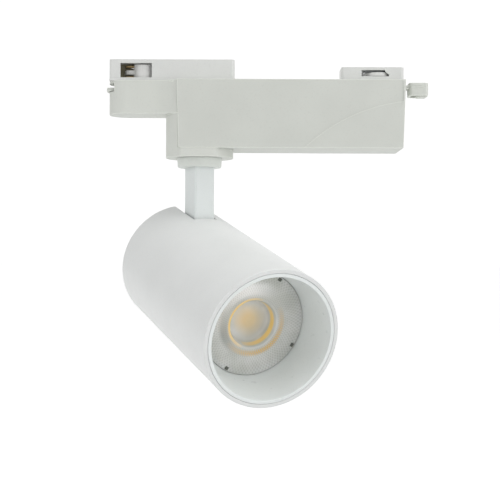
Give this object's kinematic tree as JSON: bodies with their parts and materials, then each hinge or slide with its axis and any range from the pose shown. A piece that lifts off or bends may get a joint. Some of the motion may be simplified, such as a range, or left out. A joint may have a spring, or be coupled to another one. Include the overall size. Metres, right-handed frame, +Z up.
{
  "type": "track spotlight",
  "caption": "Track spotlight: slim driver box with track inserts and lock levers, a panning stem and a tilting cylindrical head with a recessed lens.",
  "frame": {"origin": "where the pan axis meets the seat plane, the face of the driver box that bears on the underside of the track", "axes": "+X along the track towards the lock lever, +Y towards the back, +Z up into the track"},
  "size_m": [0.1904, 0.1587, 0.1941],
  "materials": {
    "housing_plastic": "fine satin moulded plastic, cool off-white",
    "insert_plastic": "fine satin moulded plastic, slightly lighter",
    "rotor_plastic": "smooth white plastic",
    "painted_white": "fine matte white powder coat",
    "baffle_white": "smooth matte white plastic",
    "steel": "zinc-plated steel",
    "brass": "bright brass",
    "nylon": "natural nylon",
    "clear_lens": "clear moulded optical plastic",
    "guard_brown": "dark brown insulating plastic",
    "holder_grey": "grey moulded plastic",
    "aluminium": "plain extruded aluminium",
    "phosphor": "yellow phosphor coating",
    "circuit_board": "green solder mask",
    "ferrite": "dark ferrite and tape",
    "capacitor_sleeve": "shrink sleeve",
    "terminal_green": "moulded plastic",
    "wire": "insulated wire"
  },
  "bodies": {
    "driver_housing": {"adapter_base": "housing_plastic", "driver_cover": "housing_plastic", "top_plate": "housing_plastic", "contact_housing": "insert_plastic", "lock_housing": "insert_plastic", "housing_screws": "steel", "insert_screws": "steel", "driver_board": "circuit_board", "driver_transformer": "ferrite", "line_choke": "ferrite", "input_capacitor": "capacitor_sleeve", "output_capacitor": "capacitor_sleeve", "terminal_block": "terminal_green", "mains_leads": "wire", "lock_spring": "steel", "pan_friction_washer": "nylon", "contact_guard": "guard_brown"},
    "contact_turn_group": {"contact_rotor": "rotor_plastic", "contact_blades": "brass", "contact_lever": "housing_plastic", "contact_lever_screw": "steel"},
    "lock_turn_group": {"lock_rotor": "rotor_plastic", "lock_lever": "housing_plastic", "lock_lever_screw": "steel"},
    "stem": {"swivel_collar": "housing_plastic", "pan_stud": "steel", "pan_stop_washer": "steel", "pan_nut": "steel", "tilt_arm": "painted_white"},
    "head": {"head_tube": "painted_white", "rear_cap": "painted_white", "baffle_ring": "baffle_white", "lens": "clear_lens", "lens_holder": "holder_grey", "cob_holder": "baffle_white", "cob_board": "aluminium", "cob_emitter": "phosphor", "cob_screws": "steel", "heat_sink": "aluminium", "tilt_bracket": "steel", "bracket_screws": "steel", "tilt_pin": "steel", "tilt_washers": "nylon", "head_leads": "wire"}
  },
  "joints": [
    {"name": "contact_turn", "type": "hinge", "parent": "driver_housing", "child": "contact_turn_group", "pos_m": [-0.0329, 0, 0], "axis": [0, 0, -1], "range_deg": [0, 90]},
    {"name": "lock_turn", "type": "hinge", "parent": "driver_housing", "child": "lock_turn_group", "pos_m": [0.1054, 0, 0], "axis": [0, 0, 1], "range_deg": [0, 90]},
    {"name": "pan", "type": "hinge", "parent": "driver_housing", "child": "stem", "pos_m": [0, 0, -0.045], "axis": [0, 0, 1], "range_deg": [-165, 165]},
    {"name": "tilt", "type": "hinge", "parent": "stem", "child": "head", "pos_m": [0, 0, -0.0843], "axis": [0.9135, 0.4067, 0], "range_deg": [-15.5, 74.5]}
  ]
}
